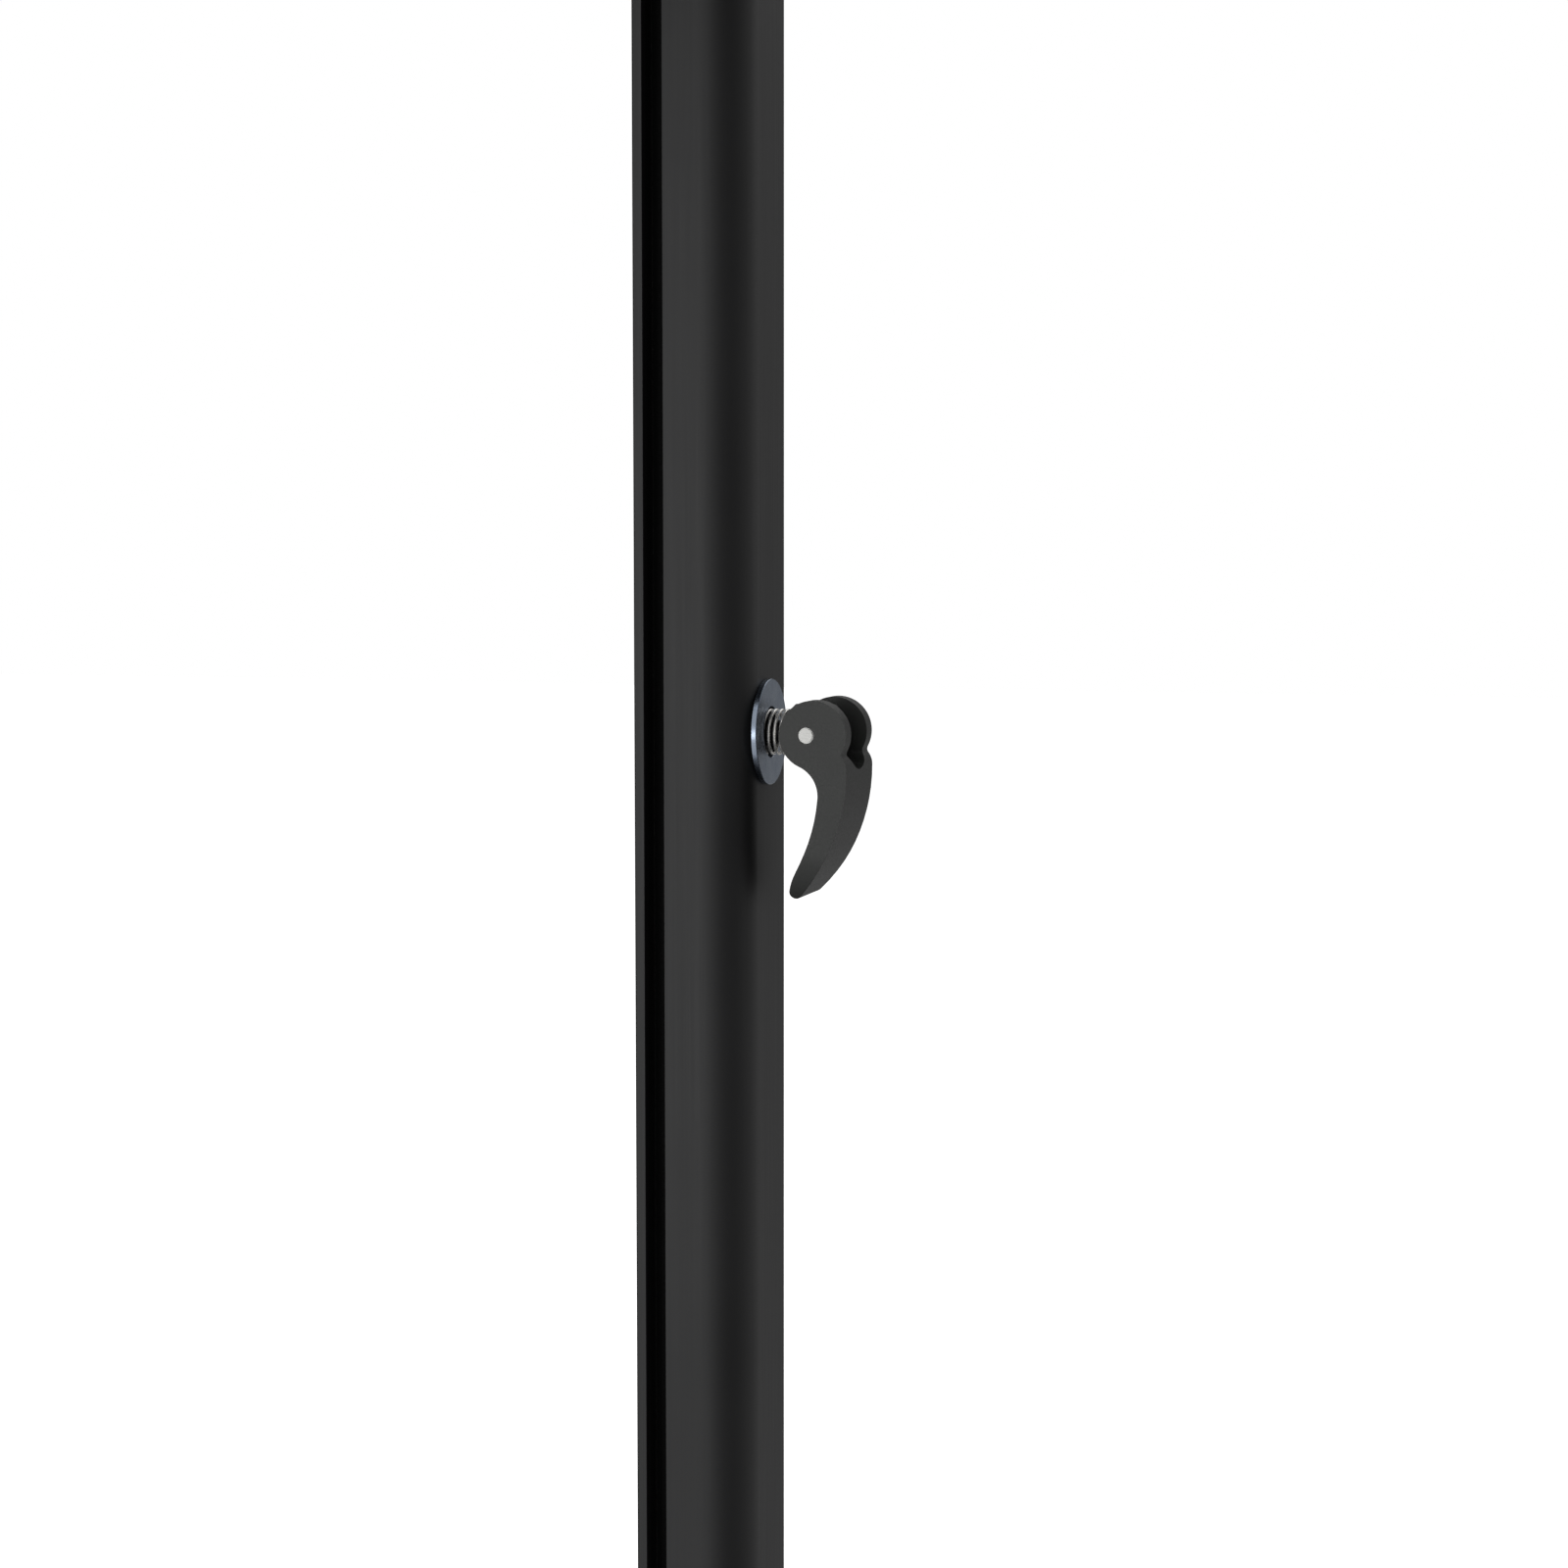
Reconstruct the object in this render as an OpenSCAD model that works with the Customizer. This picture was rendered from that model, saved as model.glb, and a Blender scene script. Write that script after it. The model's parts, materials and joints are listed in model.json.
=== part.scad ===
// Music stand with a slotted D-section mast, a sliding blade and a cam lever height clamp.
// Frame: origin on the floor under the middle of the stand, +Z up, the musician on the -Y side.

/* [Mast] */
// Width of the mast extrusion, left to right
mast_w = 29; // [28:0.5:31]
// Depth of the mast extrusion, front to back
mast_d = 38.4; // [37:0.2:42]
// Height of the mast's top end above the floor
mast_top = 664; // [640:1:700]
// Radius of the mast's front right corner
front_corner_r = 12; // [8:0.5:13]
// Radius of the mast's rear right corner
rear_corner_r = 4; // [2:0.5:6]
// Thickness of the thin lip left of the slot, at the front
lip_t = 2.65; // [2.2:0.05:3]
// Width of the slot's mouth
mouth_w = 5.3; // [4.5:0.1:6]
// Wall thickness of the extrusion
wall = 2.2; // [1.8:0.1:2.6]

/* [Blade] */
// Thickness of the sliding blade
blade_t = 4.8; // [4:0.1:4.9]
// Depth of the sliding blade, front to back
blade_d = 24; // [20:0.5:26]
// Height travel of the desk
travel = 360; // [250:5:360]

/* [Clamp] */
// Height of the clamp's axis above the floor
clamp_z = 430; // [425:1:440]
// Diameter of the clamp's stud thread
stud_d = 6; // [5:1:6]
// Diameter of the lever's pin
pin_d = 4; // [3:0.5:5]
// Width of the cam lever
lever_w = 25; // [23:0.5:28]
// Gap between the lever's two cheeks
fork_w = 15; // [14.8:0.1:16]
// Outside diameter of the clamp washer
washer_d = 27; // [22:0.5:30]
// Outside diameter of the spring
spring_d = 12; // [10:0.5:12.5]
// Length of the spring as fitted
spring_len = 7.5; // [7:0.1:8]

/* [Desk] */
// Width of the desk
desk_w = 500; // [480:5:560]
// Height of the desk along its slope
desk_h = 340; // [300:5:360]
// Lean of the desk from upright
lean = 25; // [15:1:40]
// Depth of the desk's shelf
shelf_d = 55; // [40:1:70]
// Thickness of the desk's sheet metal
sheet_t = 1.5; // [1.2:0.1:2]
// Height of the tilt hinge above the floor
hinge_z = 745; // [730:1:790]

/* [Base] */
// Distance from the mast's axis to the middle of each foot
leg_reach = 260; // [240:5:262]
// Width of each leg
leg_w = 20; // [16:1:22]
// Diameter of the rubber feet
foot_d = 26; // [22:1:30]
// Height of the rubber feet under the legs
foot_h = 9; // [8:0.5:10]

/* [Hidden] */
$fn = 96;
inf = 200;                            // longer than any cut has to be
mast_y = -leg_reach / 4;              // centres the whole stand front to back
mast_z = 30;                          // floor of the hub's pocket
slot_x = -mast_w / 2 + lip_t + mouth_w / 2;
mouth_t = 3;                          // depth of the slot's mouth
groove_w = 6.4;                       // width of the groove behind the mouth
groove_rear = 12.4;                   // rear wall of the groove, from the mast's middle
strip_t = 0.45;                       // thickness of the glide strips
cross_r = stud_d / 2 + 0.5;           // hole for the stud through mast and blade
cap_t = 3;
shoe_z = 31;                          // underside of the blade's shoe
shoe_h = 16;
tongue_h = 10;
pivot_clear = 0.05;                   // radial running clearance on pins and bolts
rivet_r = 2;
flush_r = 3.3;                        // flush rivet heads

// Clamp, measured outwards from the mast's right face
washer_t = 1.5;
pin_x = 14.05;
barrel_r = 7.25;
barrel_end = 18.7;
nut_washer_t = 1.2;
nut_t = 3.2;
nut_across = 10;
stud_tail = 1;                        // stud past its nut

// Cam lever outline, in the clamp's X and Z: arcs that run smoothly into each other
cheek = [15.85, 0.1];
cheek_r = 8.7;
outer_c = [-21.6, -9];
outer_r = 46.3;
inner_c = [-27.7, -12];
inner_r = 45;
throat_r = 8;                         // between the cheek and the inner arc
shoulder_r = 4.8;
shoulder_angle = 0.55;                // where the outer arc starts
notch_r = 1.5;                        // between the cheek and the shoulder
tip_r = 1.6;
tip_angle = -43.75;                   // where the outer arc ends
ease_r = 20;                          // between the tip and the inner arc
throat_c = corner_of(cheek, cheek_r + throat_r, inner_c, inner_r - throat_r);
shoulder_c = outer_c + (outer_r - shoulder_r) * way(shoulder_angle);
notch_c = corner_of(cheek, cheek_r + notch_r, shoulder_c, shoulder_r + notch_r);
tip_c = outer_c + (outer_r - tip_r) * way(tip_angle);
ease_c = corner_of(inner_c, inner_r + ease_r, tip_c, ease_r - tip_r);
fork_end_r = 9;                       // round end of the fork's slot, about the stud's axis

// Spring
wire_r = 0.4;
spring_turns = 4.3;
spring_start = 97;                    // angle of its first end
ring_steps = 24;                      // rings in each turn
ring_sides = 8;

// Desk, measured from the tilt hinge, with Y across the desk and Z up its slope
standoff = 34;                        // hinge to the back of the desk
desk_low = 120;                       // hinge to the bottom edge of the desk
rim = 8;
lip_h = 14;
flange_h = 22;
bracket_t = 2.5;
bracket_w = 64;
bracket_h = 80;
ear_gap = 3.5;                        // blade's middle to the ear's inner face
ear_r = 13;
ear_root = 28;
friction_t = ear_gap - blade_t / 2 - 0.1;
ear_slope = atan2(ear_root, bracket_t - standoff)
    - acos(ear_r / norm([standoff - bracket_t, ear_root]));

// Knob, measured along X from the right ear
ear_out = slot_x + ear_gap + bracket_t;
knob_washer_t = 1.2;
knob_x = ear_out + knob_washer_t + 0.1;
knob_len = 18;
knob_lobes = 5;

// Base
hub_r = 33;
hub_z = 18;
hub_top = 66;
leg_root = 34;
leg_root_h = 32;
leg_tip_t = 11;
ear_w = 5;
bolt_r = 3;
bolt_reach = [43, 56];
bolt_z = 34;
set_screw_z = 58;
leg_angles = [210, 330, 90];          // front left, front right, rear

function way(angle) = [cos(angle), sin(angle)];
function angle_to(a, b) = atan2(b.y - a.y, b.x - a.x);

// The point at a distance ra from a and rb from b, to the left of the line from a to b
function corner_of(a, ra, b, rb) = let (d = norm(b - a), u = (b - a) / d,
    along = (d * d + ra * ra - rb * rb) / (2 * d))
    a + along * u + sqrt(ra * ra - along * along) * [-u.y, u.x];

// Points along an arc, all but its last
function arc(c, r, from, to) = let (steps = ceil(abs(to - from) / 4))
    [for (i = [0:steps - 1]) c + r * way(from + (to - from) * i / steps)];

// ---- placing ----

module at_mast(z = 0) translate([0, mast_y, z]) children();
module at_clamp() translate([mast_w / 2, mast_y, clamp_z]) children();
module at_desk() translate([0, mast_y, hinge_z]) rotate([-lean, 0, 0]) children();
module at_leg(i) at_mast() rotate([0, 0, leg_angles[i]]) children();

// A round bar along +X from x = a to x = b
module x_bar(a, b, r) translate([a, 0, 0]) rotate([0, 90, 0]) cylinder(r = r, h = b - a);

// A plate standing in X and Z whose front face is at y and whose back is t behind it
module upright(y, t) translate([0, y + t, 0]) rotate([90, 0, 0]) linear_extrude(t) children();

// ---- shared shapes ----

// A rectangle between two corners with its own radius at each corner, front left first
module rounded_block(a, b, r) {
    polygon([[a.x + r[0], a.y], [b.x - r[1], a.y], [b.x, a.y + r[1]], [b.x, b.y - r[2]],
        [b.x - r[2], b.y], [a.x + r[3], b.y], [a.x, b.y - r[3]], [a.x, a.y + r[0]]]);
    translate([a.x + r[0], a.y + r[0]]) circle(r[0]);
    translate([b.x - r[1], a.y + r[1]]) circle(r[1]);
    translate([b.x - r[2], b.y - r[2]]) circle(r[2]);
    translate([a.x + r[3], b.y - r[3]]) circle(r[3]);
}

// The mast's outside, larger by grow all round
module mast_outline(grow = 0) {
    half = [mast_w / 2 + grow, mast_d / 2 + grow];
    rounded_block(-half, half, [0.5, front_corner_r, rear_corner_r, 0.5] + grow * [1, 1, 1, 1]);
}

// The groove for the blade, open at the front through its narrower mouth
module groove() {
    translate([slot_x - mouth_w / 2, -mast_d / 2 - 1]) square([mouth_w, mouth_t + 2]);
    translate([slot_x - groove_w / 2, -mast_d / 2 + mouth_t])
        square([groove_w, mast_d / 2 - mouth_t + groove_rear]);
}

module mast_chambers() {
    left = slot_x + groove_w / 2 + wall;
    right = mast_w / 2 - wall;
    front = -mast_d / 2 + wall;
    rear = mast_d / 2 - wall;
    rib_y = 8;
    rounded_block([left, front], [right, rib_y], [1, front_corner_r - wall, 1, 1]);
    rounded_block([left, rib_y + wall], [right, rear], [1, 1, rear_corner_r - wall, 1]);
    rounded_block([-mast_w / 2 + wall, groove_rear + wall], [left + 2, rear], [1, 1, 1, 1]);
}

// A washer on the X axis from x = a to x = b
module x_washer(a, b, r, hole_r) difference() {
    x_bar(a, b, r);
    x_bar(a - 1, b + 1, hole_r);
}

// ---- base ----

module base_hub() color("#2c2c2d") at_mast() {
    difference() {
        union() {
            translate([0, 0, hub_z]) cylinder(r = hub_r, h = hub_top - hub_z - 3);
            translate([0, 0, hub_top - 3]) cylinder(r1 = hub_r, r2 = hub_r - 3, h = 3);
            for (a = leg_angles) rotate([0, 0, a]) hub_ears();
        }
        for (a = leg_angles) rotate([0, 0, a]) bolt_holes();
        translate([0, 0, mast_z]) linear_extrude(inf) mast_outline(0.1);
        translate([-inf, 0, set_screw_z]) rotate([0, 90, 0]) cylinder(r = bolt_r, h = inf);
        translate([0, inf, set_screw_z]) rotate([90, 0, 0]) cylinder(r = bolt_r, h = inf);
    }
}

// Two ears that hold one leg's root between them
module hub_ears() {
    length = bolt_reach[1] + 7;
    for (s = [-1, 1]) translate([0, s * (leg_w / 2 + 0.1 + ear_w / 2) + ear_w / 2, 0])
        rotate([90, 0, 0]) linear_extrude(ear_w)
            rounded_block([hub_r - 8, hub_z], [length, hub_z + leg_root_h + 2], [1, 5, 12, 1]);
}

module bolt_holes() {
    half = leg_w / 2 + ear_w + 1;
    for (x = bolt_reach) translate([x, half, bolt_z]) rotate([90, 0, 0])
        cylinder(r = bolt_r + 0.1, h = 2 * half);
}

// One leg, lying along +X from the hub to its foot
module leg(i) color("#2c2c2d") at_leg(i) difference() {
    intersection() {
        translate([0, leg_w / 2, 0]) rotate([90, 0, 0]) linear_extrude(leg_w)
            polygon([[leg_root, hub_z], [leg_root, hub_z + leg_root_h],
                [72, hub_z + leg_root_h], [leg_reach + leg_w, foot_h + leg_tip_t - 1],
                [leg_reach + leg_w, foot_h], [leg_reach - 18, foot_h], [90, hub_z]]);
        linear_extrude(inf) union() {
            translate([0, -leg_w / 2]) square([leg_reach, leg_w]);
            translate([leg_reach, 0]) circle(leg_w / 2);
        }
    }
    bolt_holes();
    translate([leg_reach, 0, 0]) cylinder(r = 4.05, h = foot_h + 8);
}

module foot(i) color("#1b1b1b") at_leg(i) translate([leg_reach, 0, 0]) {
    cylinder(r1 = foot_d / 2 - 1, r2 = foot_d / 2, h = 1);
    translate([0, 0, 1]) cylinder(r = foot_d / 2, h = foot_h - 4);
    translate([0, 0, foot_h - 3]) cylinder(r1 = foot_d / 2, r2 = foot_d / 2 - 3, h = 3);
    cylinder(r = 4, h = foot_h + 7.5);
}

module leg_front_left() leg(0);
module leg_front_right() leg(1);
module leg_rear() leg(2);
module foot_front_left() foot(0);
module foot_front_right() foot(1);
module foot_rear() foot(2);

// Runs children at every leg bolt, with +Z along the bolt and 0 at the middle of the leg
module each_leg_bolt() for (i = [0:2], x = bolt_reach)
    at_leg(i) translate([x, 0, bolt_z]) rotate([-90, 0, 0]) children();

module leg_bolts() color("#3a3a3c") each_leg_bolt() {
    grip = leg_w / 2 + 0.1 + ear_w;
    translate([0, 0, -grip]) cylinder(r = bolt_r, h = 2 * grip + 6);
    difference() {
        translate([0, 0, -grip - 3.3]) cylinder(r1 = 3.6, r2 = 5.4, h = 3.3);
        translate([0, 0, -grip - 4]) cylinder(r = 2.3, h = 2.6, $fn = 6);
    }
}

module leg_nuts() color("#3a3a3c") each_leg_bolt() difference() {
    translate([0, 0, leg_w / 2 + 0.1 + ear_w]) cylinder(r = 5 / cos(30), h = 5, $fn = 6);
    cylinder(r = bolt_r + 0.02, h = inf);
}

module hub_set_screws() color("#3a3a3c") at_mast(set_screw_z) {
    set_screw([-mast_w / 2 - 0.05, 0, 0], [0, -90, 0]);
    set_screw([0, mast_d / 2 + 0.05, 0], [-90, 0, 0]);
}

module set_screw(place, turn) translate(place) rotate(turn) difference() {
    cylinder(r = bolt_r - 0.02, h = 12);
    translate([0, 0, 8]) cylinder(r = 1.7, h = 5, $fn = 6);
}

// ---- mast ----

module outer_mast() color("#333334") difference() {
    at_mast(mast_z) linear_extrude(mast_top - mast_z) difference() {
        mast_outline();
        groove();
        mast_chambers();
    }
    at_clamp() x_bar(-inf, inf, cross_r);
}

// A thin strip on one wall of the groove, with a hole for the stud
module glide_strip(side) color("#0e0e0e") difference() {
    x = slot_x + side * (groove_w / 2 - strip_t / 2);
    at_mast(mast_z + 6) translate([x - strip_t / 2, -blade_d / 2 + 2, 0])
        cube([strip_t, blade_d - 4, mast_top - mast_z - 12]);
    at_clamp() x_bar(-inf, inf, cross_r + 1);
}

module glide_strip_left() glide_strip(-1);
module glide_strip_right() glide_strip(1);

module mast_top_cap() color("#1c1c1d") at_mast(mast_top) {
    left = slot_x + groove_w / 2 + wall + 0.2;
    linear_extrude(cap_t) difference() {
        mast_outline();
        groove();
    }
    translate([left, -6, -12]) cube([mast_w / 2 - wall - 0.2 - left, 13.8, 12]);
}

// ---- clamp ----

module cam_washer() color("#5f676f") at_clamp() x_washer(0, washer_t, washer_d / 2, 6.5);

// A point on the spring's centre line, t from 0 at the mast to 1 at the stud's barrel
function spring_angle(t) = spring_start - 360 * spring_turns * t;
function spring_point(t, b) = let (a = spring_angle(t), r = spring_d / 2 - wire_r + wire_r * cos(b))
    [wire_r + (spring_len - 2 * wire_r) * t + wire_r * sin(b), r * cos(a), r * sin(a)];

module clamp_spring() color("#f0eeeb") at_clamp() {
    rings = round(ring_steps * spring_turns);
    points = [for (i = [0:rings], j = [0:ring_sides - 1])
        spring_point(i / rings, 360 * (j + 0.5) / ring_sides)];
    sides = [for (i = [0:rings - 1], j = [0:ring_sides - 1]) let (k = (j + 1) % ring_sides)
        [i * ring_sides + j, i * ring_sides + k, (i + 1) * ring_sides + k, (i + 1) * ring_sides + j]];
    first = [for (j = [ring_sides - 1:-1:0]) j];
    last = [for (j = [0:ring_sides - 1]) rings * ring_sides + j];
    polyhedron(points, concat(sides, [first, last]), convexity = 10);
}

module clamp_stud() color("#222223") at_clamp() difference() {
    union() {
        x_bar(-mast_w - nut_washer_t - nut_t - stud_tail, spring_len + 1, stud_d / 2);
        x_bar(spring_len + 0.6, barrel_end - 0.6, barrel_r);
        translate([spring_len, 0, 0]) rotate([0, 90, 0])
            cylinder(r1 = barrel_r - 0.6, r2 = barrel_r, h = 0.6);
        translate([barrel_end - 0.6, 0, 0]) rotate([0, 90, 0])
            cylinder(r1 = barrel_r, r2 = barrel_r - 0.6, h = 0.6);
    }
    translate([pin_x, lever_w, 0]) rotate([90, 0, 0])
        cylinder(r = pin_d / 2 + pivot_clear, h = 2 * lever_w);
}

// Side view of the lever: a round cheek, a shoulder behind it and a claw shaped handle
module lever_outline() polygon(concat(
    arc(cheek, cheek_r, angle_to(cheek, throat_c) + 360, angle_to(cheek, notch_c)),
    arc(notch_c, notch_r, angle_to(notch_c, cheek), angle_to(notch_c, shoulder_c) + 360),
    arc(shoulder_c, shoulder_r, angle_to(shoulder_c, notch_c), shoulder_angle),
    arc(outer_c, outer_r, shoulder_angle, tip_angle),
    arc(tip_c, tip_r, tip_angle, angle_to(ease_c, tip_c) - 360),
    arc(ease_c, ease_r, angle_to(ease_c, tip_c), angle_to(ease_c, inner_c)),
    arc(inner_c, inner_r, angle_to(inner_c, ease_c), angle_to(inner_c, throat_c)),
    arc(throat_c, throat_r, angle_to(inner_c, throat_c), angle_to(throat_c, cheek))));

module cam_lever() color("#333433") at_clamp() difference() {
    rotate([90, 0, 0]) linear_extrude(lever_w, center = true) lever_outline();
    translate([0, -fork_w / 2, 0]) cube([inf, fork_w, inf]);
    intersection() {
        x_bar(0, inf, fork_end_r);
        translate([0, -fork_w / 2, -inf]) cube([inf, fork_w, 2 * inf]);
    }
    translate([pin_x, lever_w, 0]) rotate([90, 0, 0])
        cylinder(r = pin_d / 2 + 0.02, h = 2 * lever_w);
}

module lever_pin() color("#c6c6c4") at_clamp() translate([pin_x, 0, 0]) rotate([90, 0, 0]) {
    cylinder(r = pin_d / 2, h = lever_w - 0.6, center = true);
    cylinder(r = pin_d / 2 - 0.25, h = lever_w, center = true);
}

module nut_washer() color("#5f676f") at_clamp()
    x_washer(-mast_w - nut_washer_t, -mast_w, stud_d, stud_d / 2 + 0.35);

module stud_nut() color("#5f676f") at_clamp() difference() {
    translate([-mast_w - nut_washer_t - nut_t, 0, 0]) rotate([0, 90, 0])
        cylinder(r = nut_across / 2 / cos(30), h = nut_t, $fn = 6);
    x_bar(-inf, 0, stud_d / 2 + pivot_clear);
}

// ---- blade ----

module inner_blade() color("#161616") translate([slot_x, mast_y, 0]) difference() {
    union() {
        translate([-blade_t / 2, -blade_d / 2, shoe_z + shoe_h])
            cube([blade_t, blade_d, hinge_z - shoe_z - shoe_h]);
        translate([-1.5, -10, shoe_z + shoe_h - tongue_h]) cube([3, 20, tongue_h + 1]);
        translate([0, 0, hinge_z]) x_bar(-blade_t / 2, blade_t / 2, blade_d / 2);
    }
    translate([-inf / 2, -cross_r, clamp_z - travel - 0.5]) cube([inf, 2 * cross_r, travel + 1]);
    for (z = [clamp_z - travel - 0.5, clamp_z + 0.5])
        translate([0, 0, z]) x_bar(-inf / 2, inf / 2, cross_r);
    translate([0, 0, hinge_z]) x_bar(-inf / 2, inf / 2, stud_d / 2 + pivot_clear);
}

module blade_shoe() color("#d8d6d0") translate([slot_x, mast_y, shoe_z]) difference() {
    translate([-2.5, -12.1, 0]) cube([5, 24.2, shoe_h]);
    translate([-1.55, -10.05, shoe_h - tongue_h - 0.1]) cube([3.1, 20.1, tongue_h + 1]);
}

module friction_washer(side) color("#202020") at_mast(hinge_z) {
    inner = slot_x + side * blade_t / 2;
    outer = inner + side * friction_t;
    x_washer(min(inner, outer), max(inner, outer), 10, stud_d / 2 + 0.35);
}

module friction_washer_left() friction_washer(-1);
module friction_washer_right() friction_washer(1);

// ---- desk ----

module desk_outline(grow = 0) {
    low = [-desk_w / 2 - grow, -desk_low - grow];
    high = [desk_w / 2 + grow, desk_h - desk_low + grow];
    rounded_block(low, high, [6, 6, 28, 28] + grow * [1, 1, 1, 1]);
}

// Folded sheet with a rim turned back along its top and sides
module desk_panel() color("#303031") at_desk() difference() {
    union() {
        upright(-standoff - sheet_t, sheet_t) desk_outline();
        difference() {
            upright(-standoff - 0.1, rim) desk_outline();
            upright(-standoff - 1, rim + 2) desk_outline(-sheet_t);
            translate([-inf * 2, -inf, -desk_low - 1]) cube([inf * 4, 2 * inf, flange_h + 4]);
        }
    }
    each_shelf_rivet() countersunk_hole();
    each_bracket_rivet() countersunk_hole();
}

// J-section sheet: a flange behind the desk, the shelf, and a lip along its front edge
module desk_shelf() color("#303031") at_desk() difference() {
    front = -standoff - sheet_t - shelf_d;
    half = desk_w / 2 - 4;
    union() {
        upright(-standoff, sheet_t)
            rounded_block([-half, -desk_low - sheet_t], [half, -desk_low + flange_h], [0.5, 0.5, 6, 6]);
        translate([-half, front, -desk_low - sheet_t])
            cube([2 * half, shelf_d + 2 * sheet_t, sheet_t]);
        upright(front, sheet_t)
            rounded_block([-half, -desk_low - sheet_t], [half, -desk_low + lip_h], [0.5, 0.5, 10, 10]);
    }
    each_shelf_rivet() rivet_hole();
}

module rivet_hole() rotate([90, 0, 0]) cylinder(r = rivet_r + 0.02, h = 30, center = true);

// A rivet's flush head, in the front of the desk
module flush_head(grow = 0) translate([0, -sheet_t, 0]) rotate([-90, 0, 0])
    cylinder(r1 = flush_r + grow, r2 = rivet_r + grow, h = flush_r - rivet_r);

module countersunk_hole() {
    rivet_hole();
    flush_head(0.02);
}

module each_shelf_rivet() for (x = [-5:2:5])
    translate([x * 42, -standoff, -desk_low + flange_h / 2 + 1]) children();

module each_bracket_rivet() for (x = [-1, 1], z = [-1, 1])
    translate([slot_x + x * (bracket_w / 2 - 8), -standoff, z * (bracket_h / 2 - 10)]) children();

// A rivet along Y through a stack of sheet, flush in front and with a low head behind
module rivet(behind) {
    rotate([90, 0, 0]) translate([0, 0, -behind]) cylinder(r = rivet_r, h = behind + sheet_t);
    flush_head();
    translate([0, behind, 0]) rotate([-90, 0, 0]) cylinder(r1 = 3.4, r2 = 2.2, h = 1.4);
}

module shelf_rivets() color("#2a2a2a") at_desk() each_shelf_rivet() rivet(sheet_t);
module bracket_rivets() color("#2a2a2a") at_desk() each_bracket_rivet() rivet(bracket_t);

// Base plate on the back of the desk with two ears that straddle the blade
module desk_bracket() color("#2c2c2d") at_desk() difference() {
    half = [bracket_w / 2, bracket_h / 2];
    union() {
        upright(-standoff, bracket_t) translate([slot_x, 0]) rounded_block(-half, half, [6, 6, 6, 6]);
        for (s = [-1, 1]) bracket_ear(slot_x + s * (ear_gap + bracket_t / 2));
    }
    x_bar(-inf, inf, stud_d / 2 + 0.1);
    each_bracket_rivet() rivet_hole();
}

module bracket_ear(x) translate([x - bracket_t / 2, 0, 0]) rotate([90, 0, 90])
    linear_extrude(bracket_t) {
        circle(ear_r);
        polygon([[bracket_t - standoff - 0.5, -ear_root], [bracket_t - standoff, -ear_root],
            ear_r * [cos(ear_slope), -sin(ear_slope)], ear_r * [cos(ear_slope), sin(ear_slope)],
            [bracket_t - standoff, ear_root], [bracket_t - standoff - 0.5, ear_root]]);
    }

module tilt_bolt() color("#3a3a3c") at_mast(hinge_z) {
    left = slot_x - ear_gap - bracket_t;
    x_bar(left, knob_x + 11, stud_d / 2);
    difference() {
        translate([left, 0, 0]) rotate([0, -90, 0]) cylinder(r1 = 7, r2 = 5, h = 3.5);
        translate([left - 1.2, 0, 0]) rotate([0, -90, 0]) cylinder(r = 2.3, h = 4, $fn = 6);
    }
}

module knob_washer() color("#5f676f") at_mast(hinge_z)
    x_washer(ear_out, ear_out + knob_washer_t, 6.5, stud_d / 2 + 0.2);

module tilt_knob() color("#1a1a1b") at_mast(hinge_z) difference() {
    union() {
        x_bar(knob_x, knob_x + 5, 8);
        translate([knob_x + 4, 0, 0]) rotate([0, 90, 0]) linear_extrude(knob_len - 4) {
            circle(14);
            for (i = [0:knob_lobes - 1]) rotate(360 * i / knob_lobes) translate([13, 0]) circle(5);
        }
    }
    x_bar(knob_x - 1, knob_x + 10, 4.5);
    x_bar(knob_x, knob_x + 13, 3.4);
}

module knob_insert() color("#b08d4a") at_mast(hinge_z)
    x_washer(knob_x, knob_x + 10, 4.48, stud_d / 2 + pivot_clear);

base_hub();
leg_front_left();
leg_front_right();
leg_rear();
leg_bolts();
leg_nuts();
foot_front_left();
foot_front_right();
foot_rear();
hub_set_screws();
outer_mast();
glide_strip_left();
glide_strip_right();
mast_top_cap();
cam_washer();
clamp_spring();
clamp_stud();
cam_lever();
lever_pin();
nut_washer();
stud_nut();
inner_blade();
blade_shoe();
friction_washer_left();
friction_washer_right();
desk_panel();
desk_shelf();
desk_bracket();
shelf_rivets();
bracket_rivets();
tilt_bolt();
knob_washer();
tilt_knob();
knob_insert();
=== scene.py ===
import json
import math

import bpy
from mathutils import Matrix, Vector


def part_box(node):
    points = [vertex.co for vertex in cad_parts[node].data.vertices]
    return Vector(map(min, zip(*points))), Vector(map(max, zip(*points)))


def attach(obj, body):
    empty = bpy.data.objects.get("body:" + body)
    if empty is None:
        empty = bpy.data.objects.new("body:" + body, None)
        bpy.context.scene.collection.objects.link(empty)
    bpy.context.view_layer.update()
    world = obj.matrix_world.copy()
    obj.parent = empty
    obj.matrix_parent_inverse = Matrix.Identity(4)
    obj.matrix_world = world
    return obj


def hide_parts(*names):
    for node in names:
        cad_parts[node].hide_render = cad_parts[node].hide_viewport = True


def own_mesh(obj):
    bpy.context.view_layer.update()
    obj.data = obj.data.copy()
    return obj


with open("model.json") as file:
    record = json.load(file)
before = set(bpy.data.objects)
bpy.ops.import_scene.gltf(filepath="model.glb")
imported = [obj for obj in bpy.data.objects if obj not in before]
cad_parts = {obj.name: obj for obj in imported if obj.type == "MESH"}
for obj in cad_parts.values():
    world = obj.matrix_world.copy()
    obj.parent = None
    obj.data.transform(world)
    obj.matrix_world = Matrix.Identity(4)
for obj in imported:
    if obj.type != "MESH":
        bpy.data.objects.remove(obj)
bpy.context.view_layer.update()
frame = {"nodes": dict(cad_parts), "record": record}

MM = 0.001
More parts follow.
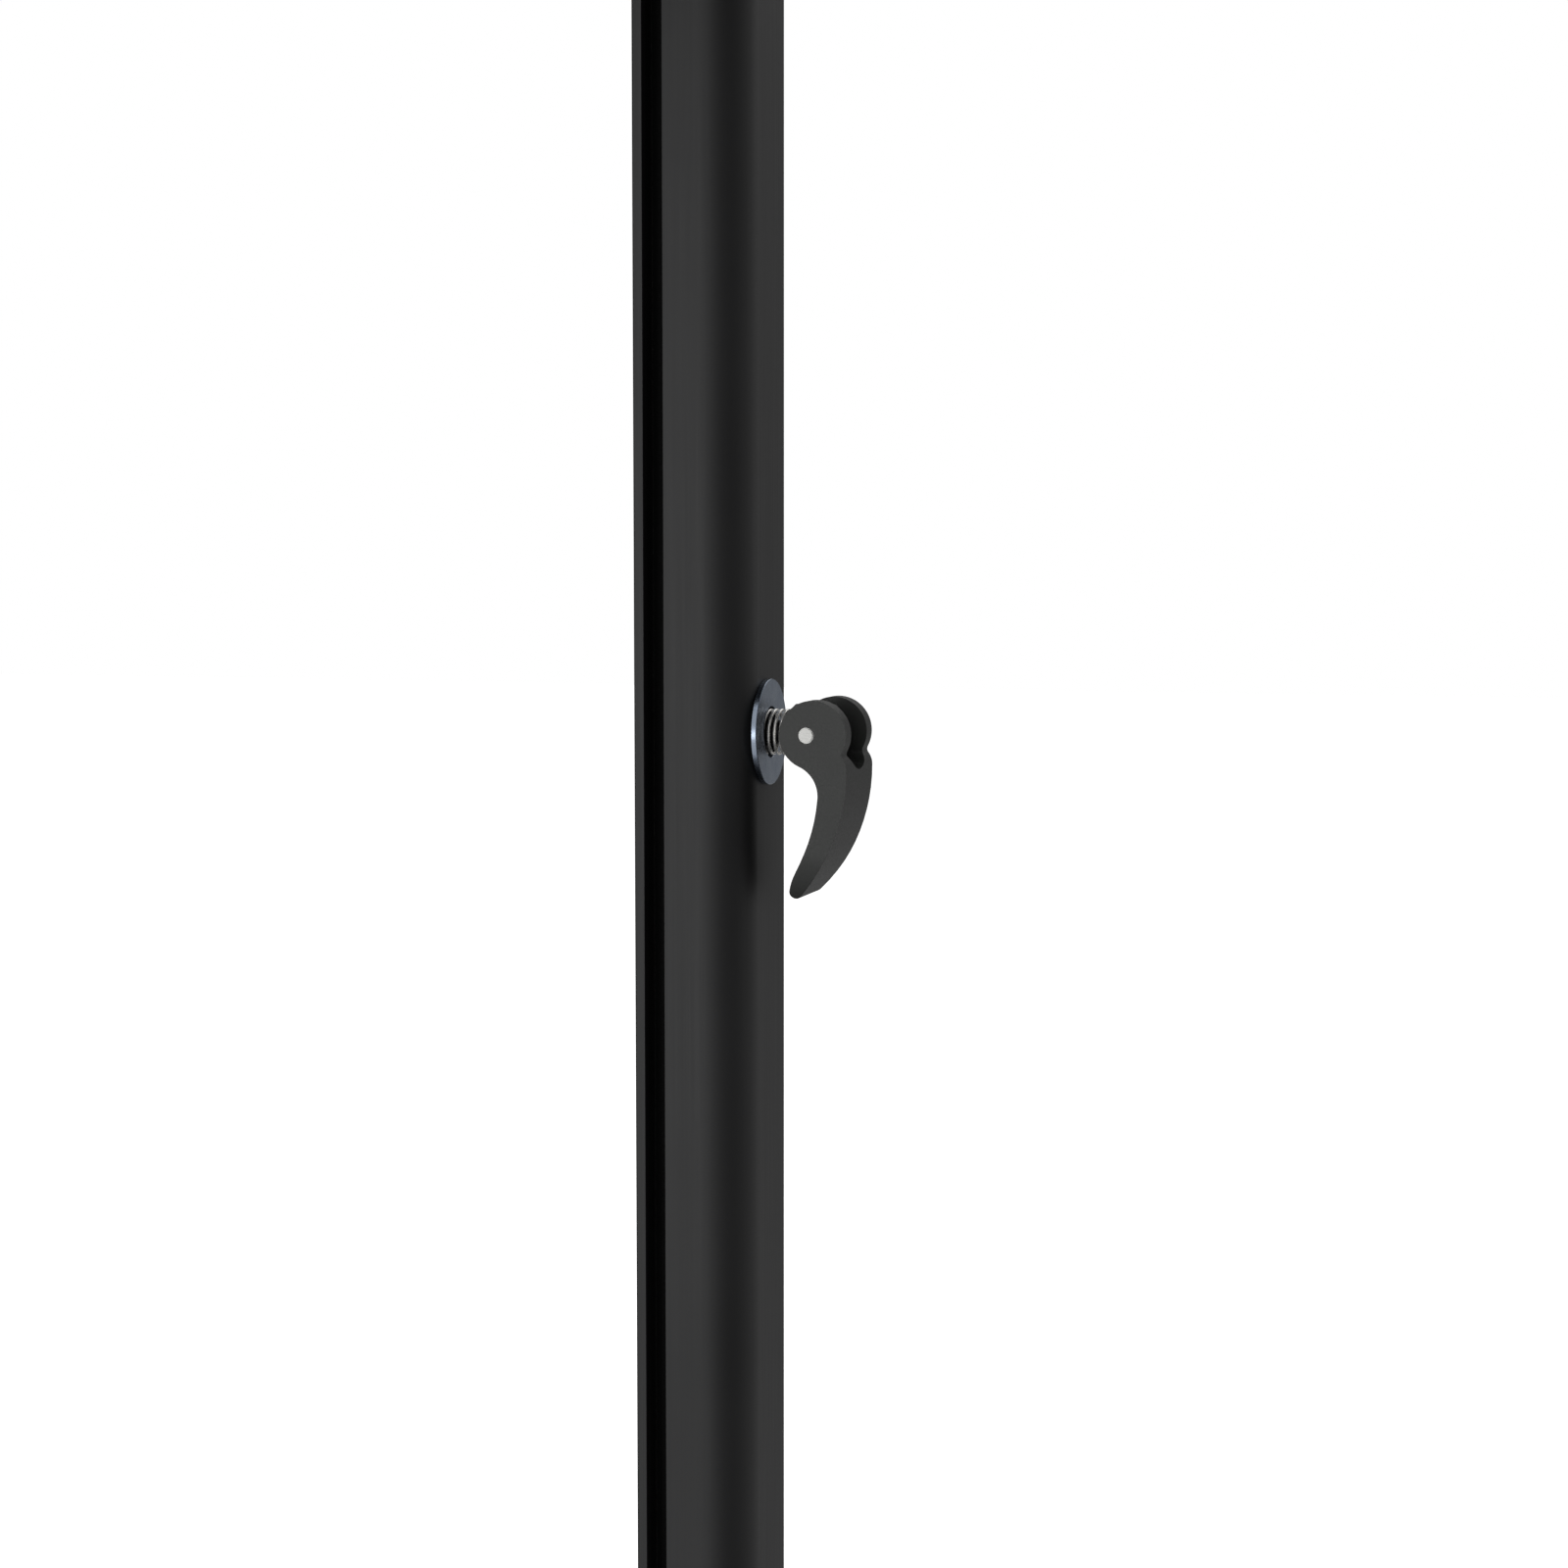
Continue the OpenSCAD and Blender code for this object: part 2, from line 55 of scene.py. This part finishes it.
joints = {joint["name"]: joint for joint in frame["record"]["behaviour"]["joints"]}
clamp = Vector(joints["stud_turn"]["pos_m"])       # on the mast's right face, on the stud's axis


# ---------------------------------------------------------------- materials

def colour(code):
    """An sRGB hex colour such as "#3a3a3b" as linear red, green, blue and alpha."""
    parts = [int(code[i:i + 2], 16) / 255 for i in (1, 3, 5)]
    return [c / 12.92 if c <= 0.04045 else ((c + 0.055) / 1.055) ** 2.4 for c in parts] + [1.0]


def add(tree, kind, inputs=None, **settings):
    """Adds one node. An input's value is a number, a colour or another node's output socket."""
    node = tree.nodes.new(kind)
    for name, value in settings.items():
        setattr(node, name, value)
    for name, value in (inputs or {}).items():
        if isinstance(value, bpy.types.NodeSocket):
            tree.links.new(value, node.inputs[name])
        else:
            node.inputs[name].default_value = value
    return node


def new_material(name, **surface):
    """A material with a Principled shader, whose constants are set on the shader's own sockets."""
    material = bpy.data.materials.new(name)
    material.use_nodes = True
    shader = material.node_tree.nodes["Principled BSDF"]
    for socket, value in surface.items():
        shader.inputs[socket.replace("_", " ")].default_value = value
    return material, material.node_tree, shader


def blend_colours(tree, amount, low, high):
    """A colour that runs between two sRGB hex colours as amount runs from 0.3 to 0.7."""
    ramp = add(tree, "ShaderNodeValToRGB", {"Fac": amount})
    ramp.color_ramp.elements[0].position = 0.3
    ramp.color_ramp.elements[0].color = colour(low)
    ramp.color_ramp.elements[1].position = 0.7
    ramp.color_ramp.elements[1].color = colour(high)
    return ramp.outputs["Color"]


def bump(tree, shader, height, depth_mm):
    """Raises the surface by up to depth_mm where height is 1."""
    node = add(tree, "ShaderNodeBump", {"Height": height, "Distance": depth_mm * MM, "Strength": 1.0})
    tree.links.new(node.outputs["Normal"], shader.inputs["Normal"])


def anodised_extrusion():
    """Satin black anodised aluminium, extruded: dull, with faint die lines along its length."""
    material, tree, shader = new_material("satin_black_anodised_extrusion", IOR=1.5)
    place = add(tree, "ShaderNodeTexCoord").outputs["Object"]
    # die lines 0.35 mm apart, 60 mm long: coarser than the real 0.1 mm so that they show
    along = add(tree, "ShaderNodeMapping", {"Vector": place, "Scale": (1 / 0.35, 1 / 0.35, 1 / 60)})
    lines = add(tree, "ShaderNodeTexNoise", {"Vector": along.outputs[0], "Scale": 1 / MM, "Detail": 2.0})
    # the etched skin's clouding, 25 mm across
    cloud = add(tree, "ShaderNodeTexNoise", {"Vector": place, "Scale": 1 / (25 * MM), "Detail": 3.0})
    skin = blend_colours(tree, cloud.outputs["Fac"], "#1d1d1e", "#212122")
    tree.links.new(skin, shader.inputs["Base Color"])
    rough = add(tree, "ShaderNodeMapRange", {"Value": lines.outputs["Fac"], "From Min": 0.3,
                                             "From Max": 0.7, "To Min": 0.48, "To Max": 0.54})
    tree.links.new(rough.outputs[0], shader.inputs["Roughness"])
    bump(tree, shader, lines.outputs["Fac"], 0.004)
    return material


def powder_coat(name, grain_mm, depth_mm, dark="#222223", light="#272728", gloss=0.5):
    """Black polyester powder coat: matt, with the fine orange peel of a sprayed and baked finish."""
    material, tree, shader = new_material(name, IOR=1.5, Specular_IOR_Level=gloss)
    place = add(tree, "ShaderNodeTexCoord").outputs["Object"]
    peel = add(tree, "ShaderNodeTexNoise", {"Vector": place, "Scale": 1 / (grain_mm * MM), "Detail": 3.0})
    cloud = add(tree, "ShaderNodeTexNoise", {"Vector": place, "Scale": 1 / (60 * MM), "Detail": 2.0})
    coat = blend_colours(tree, cloud.outputs["Fac"], dark, light)
    tree.links.new(coat, shader.inputs["Base Color"])
    rough = add(tree, "ShaderNodeMapRange", {"Value": peel.outputs["Fac"], "From Min": 0.3,
                                             "From Max": 0.7, "To Min": 0.46, "To Max": 0.60})
    tree.links.new(rough.outputs[0], shader.inputs["Roughness"])
    bump(tree, shader, peel.outputs["Fac"], depth_mm)
    return material


def painted_casting():
    """Matt black paint on a zinc die casting, with a very slight green cast."""
    material, tree, shader = new_material("matt_black_painted_die_casting", IOR=1.5)
    place = add(tree, "ShaderNodeTexCoord").outputs["Object"]
    # the blasted skin under the paint, grains of 0.5 mm
    grain = add(tree, "ShaderNodeTexNoise", {"Vector": place, "Scale": 1 / (0.5 * MM), "Detail": 2.0})
    cloud = add(tree, "ShaderNodeTexNoise", {"Vector": place, "Scale": 1 / (9 * MM), "Detail": 2.0})
    paint = blend_colours(tree, cloud.outputs["Fac"], "#242624", "#292b29")
    tree.links.new(paint, shader.inputs["Base Color"])
    rough = add(tree, "ShaderNodeMapRange", {"Value": grain.outputs["Fac"], "From Min": 0.3,
                                             "From Max": 0.7, "To Min": 0.42, "To Max": 0.52})
    tree.links.new(rough.outputs[0], shader.inputs["Roughness"])
    bump(tree, shader, grain.outputs["Fac"], 0.008)
    return material


def zinc_plate():
    """Bright zinc plate with a blue passivate on pressed steel: cold grey, glossy, slightly cloudy."""
    material, tree, shader = new_material("blue_zinc_plated_steel", Metallic=1.0)
    place = add(tree, "ShaderNodeTexCoord").outputs["Object"]
    cloud = add(tree, "ShaderNodeTexNoise", {"Vector": place, "Scale": 1 / (4 * MM), "Detail": 4.0})
    # the rolled sheet's faint scratches, 0.25 mm apart
    scratch = add(tree, "ShaderNodeMapping", {"Vector": place, "Rotation": (0.6, 0.0, 0.0),
                                              "Scale": (1.0, 1 / 0.25, 1 / 6)})
    rolled = add(tree, "ShaderNodeTexNoise", {"Vector": scratch.outputs[0], "Scale": 1 / MM, "Detail": 2.0})
    plate = blend_colours(tree, cloud.outputs["Fac"], "#8a95a6", "#99a3b1")
    tree.links.new(plate, shader.inputs["Base Color"])
    rough = add(tree, "ShaderNodeMapRange", {"Value": rolled.outputs["Fac"], "From Min": 0.3,
                                             "From Max": 0.7, "To Min": 0.24, "To Max": 0.30})
    tree.links.new(rough.outputs[0], shader.inputs["Roughness"])
    bump(tree, shader, rolled.outputs["Fac"], 0.0006)
    return material


def drawn_wire():
    """Drawn spring wire under a pale lacquer: nearly white with a soft gloss."""
    material, tree, shader = new_material("lacquered_bright_spring_wire", Metallic=0.75)
    place = add(tree, "ShaderNodeTexCoord").outputs["Object"]
    marks = add(tree, "ShaderNodeTexNoise", {"Vector": place, "Scale": 1 / (0.3 * MM), "Detail": 2.0})
    wire = blend_colours(tree, marks.outputs["Fac"], "#fbf8f3", "#fffdfa")
    tree.links.new(wire, shader.inputs["Base Color"])
    rough = add(tree, "ShaderNodeMapRange", {"Value": marks.outputs["Fac"], "To Min": 0.20, "To Max": 0.30})
    tree.links.new(rough.outputs[0], shader.inputs["Roughness"])
    return material


def brushed_pin():
    """Stainless steel rod, ground on its length and faced on its ends."""
    material, tree, shader = new_material("ground_stainless_pin", Metallic=1.0)
    place = add(tree, "ShaderNodeTexCoord").outputs["Object"]
    # facing marks 0.12 mm apart across the ends
    across = add(tree, "ShaderNodeMapping", {"Vector": place, "Scale": (1 / 1.5, 1.0, 1 / 0.12)})
    marks = add(tree, "ShaderNodeTexNoise", {"Vector": across.outputs[0], "Scale": 1 / MM, "Detail": 2.0})
    steel = blend_colours(tree, marks.outputs["Fac"], "#858583", "#a0a09e")
    tree.links.new(steel, shader.inputs["Base Color"])
    rough = add(tree, "ShaderNodeMapRange", {"Value": marks.outputs["Fac"], "To Min": 0.25, "To Max": 0.42})
    tree.links.new(rough.outputs[0], shader.inputs["Roughness"])
    return material


def black_oxide():
    """Turned steel with a black oxide finish: oily black with fine turning marks."""
    material, tree, shader = new_material("black_oxide_steel", Metallic=0.6)
    place = add(tree, "ShaderNodeTexCoord").outputs["Object"]
    # turning marks 0.2 mm apart along the stud
    turned = add(tree, "ShaderNodeMapping", {"Vector": place, "Scale": (1 / 0.2, 1 / 4, 1 / 4)})
    marks = add(tree, "ShaderNodeTexNoise", {"Vector": turned.outputs[0], "Scale": 1 / MM, "Detail": 2.0})
    oxide = blend_colours(tree, marks.outputs["Fac"], "#1c1c1e", "#262628")
    tree.links.new(oxide, shader.inputs["Base Color"])
    rough = add(tree, "ShaderNodeMapRange", {"Value": marks.outputs["Fac"], "To Min": 0.34, "To Max": 0.48})
    tree.links.new(rough.outputs[0], shader.inputs["Roughness"])
    bump(tree, shader, marks.outputs["Fac"], 0.003)
    return material


def moulded(name, dark, light, grain_mm, roughness, depth_mm):
    """A moulded plastic or rubber with a spark eroded texture of the given grain."""
    material, tree, shader = new_material(name, IOR=1.49)
    place = add(tree, "ShaderNodeTexCoord").outputs["Object"]
    grain = add(tree, "ShaderNodeTexVoronoi", {"Vector": place, "Scale": 1 / (grain_mm * MM)},
                feature="SMOOTH_F1")
    cloud = add(tree, "ShaderNodeTexNoise", {"Vector": place, "Scale": 1 / (12 * MM), "Detail": 3.0})
    skin = blend_colours(tree, cloud.outputs["Fac"], dark, light)
    tree.links.new(skin, shader.inputs["Base Color"])
    rough = add(tree, "ShaderNodeMapRange", {"Value": grain.outputs["Distance"], "To Min": roughness,
                                             "To Max": roughness + 0.12})
    tree.links.new(rough.outputs[0], shader.inputs["Roughness"])
    bump(tree, shader, grain.outputs["Distance"], depth_mm)
    return material


def turned_brass():
    """Turned and knurled brass."""
    material, tree, shader = new_material("turned_brass", Metallic=1.0)
    place = add(tree, "ShaderNodeTexCoord").outputs["Object"]
    marks = add(tree, "ShaderNodeTexNoise", {"Vector": place, "Scale": 1 / (0.3 * MM), "Detail": 2.0})
    brass = blend_colours(tree, marks.outputs["Fac"], "#a8863f", "#c2a055")
    tree.links.new(brass, shader.inputs["Base Color"])
    rough = add(tree, "ShaderNodeMapRange", {"Value": marks.outputs["Fac"], "To Min": 0.25, "To Max": 0.4})
    tree.links.new(rough.outputs[0], shader.inputs["Roughness"])
    return material


FINISH = {
    "black_cast": powder_coat("powder_coated_cast_iron", 2.2, 0.05),
    "black_leg": powder_coat("powder_coated_steel_leg", 1.6, 0.03),
    "black_screws": black_oxide(),
    "foot_rubber": moulded("moulded_black_rubber", "#181818", "#1f1f1f", 0.8, 0.72, 0.02),
    "mast_anodised": anodised_extrusion(),
    "glide_nylon": moulded("black_nylon", "#0b0b0b", "#101010", 0.5, 0.6, 0.01),
    "cap_plastic": moulded("moulded_black_cap", "#1b1b1c", "#212122", 0.6, 0.5, 0.015),
    "zinc_steel": zinc_plate(),
    "spring_steel": drawn_wire(),
    "lever_black": painted_casting(),
    "pin_steel": brushed_pin(),
    # the blade is black anodised, but it is made near black and almost without reflection as painted shade
    # for the dark slot that it runs in
    "blade_black": powder_coat("black_anodised_blade_darkened_as_painted_shade", 0.8, 0.01, "#060606", "#090909", 0.06),
    "shoe_nylon": moulded("natural_nylon", "#cfccc4", "#dedbd3", 0.6, 0.45, 0.01),
    "desk_sheet": powder_coat("powder_coated_desk_sheet", 1.3, 0.03),
    "bracket_black": powder_coat("powder_coated_bracket", 1.6, 0.03),
    "rivet_black": powder_coat("painted_rivet", 0.8, 0.01),
    "knob_plastic": moulded("moulded_black_knob", "#191919", "#202020", 0.7, 0.42, 0.02),
    "brass": turned_brass(),
}
FINISH["stud_black"] = FINISH["black_screws"]


# ---------------------------------------------------------------- pieces

body_of_node = {node: body for body, nodes in frame["record"]["behaviour"]["bodies"].items()
                for node in nodes}
slot_of_node = {part["node"]: part["material_slot"] for part in frame["record"]["subparts"]}


def select_only(piece):
    bpy.ops.object.select_all(action="DESELECT")
    piece.select_set(True)
    bpy.context.view_layer.objects.active = piece


def dress(piece, node):
    """Gives a new piece the finish of its node's slot and its node's body, and hides the plain node."""
    slot = slot_of_node[node]
    piece.data.materials.clear()
    piece.data.materials.append(FINISH[slot])
    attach(piece, body_of_node[node])
    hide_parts(node)


def copy_of(node):
    """A welded copy of a CAD node's mesh, without the edges inside its flat faces."""
    piece = bpy.data.objects.new(node + "_finished", frame["nodes"][node].data.copy())
    bpy.context.collection.objects.link(piece)
    select_only(piece)
    bpy.ops.mesh.customdata_custom_splitnormals_clear()
    bpy.ops.object.mode_set(mode="EDIT")
    bpy.ops.mesh.select_all(action="SELECT")
    bpy.ops.mesh.remove_doubles(threshold=0.002 * MM)
    bpy.ops.mesh.dissolve_limited(angle_limit=math.radians(0.4))
    bpy.ops.object.mode_set(mode="OBJECT")
    return piece


def ease_edges(piece, width_mm):
    """Rounds every sharp edge and smooths the shading over what is round."""
    select_only(piece)
    bevel = piece.modifiers.new("eased edges", "BEVEL")
    bevel.width = width_mm * MM
    bevel.segments = 3
    bevel.limit_method = "ANGLE"
    bevel.angle_limit = math.radians(38)
    bevel.use_clamp_overlap = True
    bevel.miter_outer = "MITER_ARC"
    bpy.ops.object.modifier_apply(modifier=bevel.name)
    bpy.ops.object.shade_smooth_by_angle(angle=math.radians(32))
    flat = piece.modifiers.new("flat faces stay flat", "WEIGHTED_NORMAL")
    flat.mode = "FACE_AREA"
    flat.weight = 100
    flat.keep_sharp = True
    bpy.ops.object.modifier_apply(modifier=flat.name)


def narrow_tip(piece):
    """Curves the sides of the lever's handle in towards its tip, from 29 mm below the clamp down."""
    low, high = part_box("cam_lever")
    half, radius = (high.y - low.y) / 2, 25 * MM
    top = clamp.z - 29 * MM
    rings = math.ceil((top - low.z) / MM)            # one new edge loop in each millimetre
    select_only(piece)
    bpy.ops.object.mode_set(mode="EDIT")
    for ring in range(rings):
        bpy.ops.mesh.select_all(action="SELECT")
        bpy.ops.mesh.bisect(plane_co=(0, 0, top - ring * MM), plane_no=(0, 0, 1))
    bpy.ops.object.mode_set(mode="OBJECT")
    for vertex in piece.data.vertices:
        drop = top - vertex.co.z
        if drop > 0:
            reach = half - radius + math.sqrt(radius ** 2 - drop ** 2)
            vertex.co.y = clamp.y + (vertex.co.y - clamp.y) * reach / half


def spring():
    """Round wire wound left-handed round the stud."""
    low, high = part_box("clamp_spring")
    outside = (high.y - low.y) / 2
    wire = 0.4 * MM                                  # the wire's radius
    turns = 4.3
    start = math.radians(97)                         # where its first end stands
    length = high.x - low.x - 2 * wire
    bpy.ops.mesh.primitive_circle_add(vertices=16, radius=wire, fill_type="NOTHING")
    piece = bpy.context.object
    piece.name = "clamp_spring_wound"
    select_only(piece)
    bpy.ops.object.mode_set(mode="EDIT")
    bpy.ops.mesh.select_all(action="SELECT")
    bpy.ops.transform.translate(value=(low.x + wire - clamp.x, outside - wire, 0))
    bpy.ops.object.mode_set(mode="OBJECT")
    winding = piece.modifiers.new("winding", "SCREW")
    winding.axis = "X"
    winding.angle = -math.radians(360 * turns)
    winding.screw_offset = length
    winding.steps = winding.render_steps = int(72 * turns)
    winding.use_smooth_shade = True
    bpy.ops.object.modifier_apply(modifier=winding.name)
    bpy.ops.object.mode_set(mode="EDIT")
    bpy.ops.mesh.select_all(action="DESELECT")
    bpy.ops.mesh.select_mode(type="EDGE")
    bpy.ops.mesh.select_non_manifold()
    bpy.ops.mesh.edge_face_add()
    bpy.ops.mesh.select_all(action="SELECT")
    bpy.ops.mesh.normals_make_consistent(inside=False)
    bpy.ops.transform.rotate(value=start, orient_axis="X", center_override=(0, 0, 0))
    bpy.ops.transform.translate(value=clamp)
    bpy.ops.object.mode_set(mode="OBJECT")
    bpy.ops.object.shade_smooth_by_angle(angle=math.radians(50))
    return piece


EASED = {  # node: edge radius in mm
    "base_hub": 1.0, "leg_front_left": 1.5, "leg_front_right": 1.5, "leg_rear": 1.5,
    "leg_bolts": 0.4, "leg_nuts": 0.4, "foot_front_left": 0.6, "foot_front_right": 0.6,
    "foot_rear": 0.6, "outer_mast": 0.2, "mast_top_cap": 0.4, "cam_washer": 0.25,
    "clamp_stud": 0.3, "cam_lever": 0.3, "nut_washer": 0.2, "stud_nut": 0.3,
    "inner_blade": 0.3, "desk_panel": 0.4, "desk_shelf": 0.5, "desk_bracket": 0.4,
    "shelf_rivets": 0.3, "bracket_rivets": 0.3, "tilt_bolt": 0.4, "knob_washer": 0.2,
    "tilt_knob": 1.2,
}
for node, radius in EASED.items():
    piece = copy_of(node)
    if node == "cam_lever":
        narrow_tip(piece)
    ease_edges(piece, radius)
    dress(piece, node)

wound = spring()
dress(wound, "clamp_spring")
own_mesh(wound)

for node, cad in frame["nodes"].items():
    cad.data.materials.clear()
    cad.data.materials.append(FINISH[slot_of_node[node]])


# ---------------------------------------------------------------- stage

def direction(azimuth, elevation):
    """From the stand towards a camera or lamp. Azimuth 0 is the musician's side, 90 the lever's."""
    a, e = math.radians(azimuth), math.radians(elevation)
    return Vector((math.sin(a) * math.cos(e), -math.cos(a) * math.cos(e), math.sin(e)))


def softbox(name, azimuth, elevation, distance, size, watts, aim):
    """A rectangular lamp that faces aim from a distance in metres. Its size is width and height."""
    lamp = bpy.data.lights.new(name, "AREA")
    lamp.shape = "RECTANGLE"
    lamp.size, lamp.size_y = size
    lamp.energy = watts
    box = bpy.data.objects.new(name, lamp)
    bpy.context.collection.objects.link(box)
    box.location = aim + direction(azimuth, elevation) * distance
    box.rotation_euler = direction(azimuth, elevation).to_track_quat("Z", "Y").to_euler()
    box.visible_camera = False
    return box


def floor():
    """A pale matt floor with light of its own, more of it away from the stand, as on a light table."""
    bpy.ops.mesh.primitive_plane_add(size=16.0)
    piece = bpy.context.object
    piece.name = "studio_floor"
    material, tree, shader = new_material("pale_matt_floor", Roughness=0.9)
    shader.inputs["Base Color"].default_value = colour("#f4f4f3")
    shader.inputs["Emission Color"].default_value = colour("#ffffff")
    place = add(tree, "ShaderNodeTexCoord").outputs["Object"]
    reach = add(tree, "ShaderNodeVectorMath", {"Vector": place}, operation="LENGTH").outputs["Value"]
    glow = add(tree, "ShaderNodeMapRange", {"Value": reach, "From Min": 0.25, "From Max": 0.62,
                                            "To Min": 0.58, "To Max": 1.0}, interpolation_type="SMOOTHSTEP")
    tree.links.new(glow.outputs[0], shader.inputs["Emission Strength"])
    piece.data.materials.append(material)
    piece.visible_glossy = False
    piece.visible_diffuse = False
    piece.visible_shadow = False


def studio_world(ambient):
    """White behind the stand, and a dim even room for everything that the lamps leave."""
    world = bpy.data.worlds.new("studio")
    bpy.context.scene.world = world
    world.use_nodes = True
    tree = world.node_tree
    tree.nodes.clear()
    seen = add(tree, "ShaderNodeLightPath").outputs["Is Camera Ray"]
    room = add(tree, "ShaderNodeBackground", {"Color": (1, 1, 1, 1), "Strength": ambient})
    backdrop = add(tree, "ShaderNodeBackground", {"Color": (1, 1, 1, 1), "Strength": 1.0})
    mix = add(tree, "ShaderNodeMixShader", {"Fac": seen})
    tree.links.new(room.outputs[0], mix.inputs[1])
    tree.links.new(backdrop.outputs[0], mix.inputs[2])
    output = add(tree, "ShaderNodeOutputWorld")
    tree.links.new(mix.outputs[0], output.inputs["Surface"])


def camera():
    """Looks at the mast's clamp from the lever's side of the front, a little from above."""
    lens = bpy.data.cameras.new("camera")
    lens.lens = 70
    lens.sensor_width = 36
    view = bpy.data.objects.new("camera", lens)
    bpy.context.collection.objects.link(view)
    back = direction(16.65, 4.82)
    aim = clamp + Vector((4.66, 0.22, -13.33)) * MM  # off the mast's face and below the stud
    distance = 777.8 * MM
    view.location = aim + back * distance
    view.rotation_euler = back.to_track_quat("Z", "Y").to_euler()
    bpy.context.scene.camera = view


floor()
studio_world(0.13)
camera()
softbox("front_left_softbox", -20, 0, 2.4, (4.4, 6.0), 52, clamp)
softbox("key_softbox", -17, -3, 2.4, (0.6, 0.6), 5, clamp)
softbox("rear_right_softbox", 125, -4, 2.4, (3.6, 6.0), 17, clamp)
softbox("rear_low_softbox", 180, -18, 2.4, (0.8, 0.8), 0.6, clamp)
softbox("rear_high_softbox", 172, 36, 2.4, (2.4, 1.2), 7, clamp)
softbox("top_softbox", -40, 75, 2.4, (2.0, 2.0), 14, clamp)
bpy.context.scene.view_settings.view_transform = "Standard"
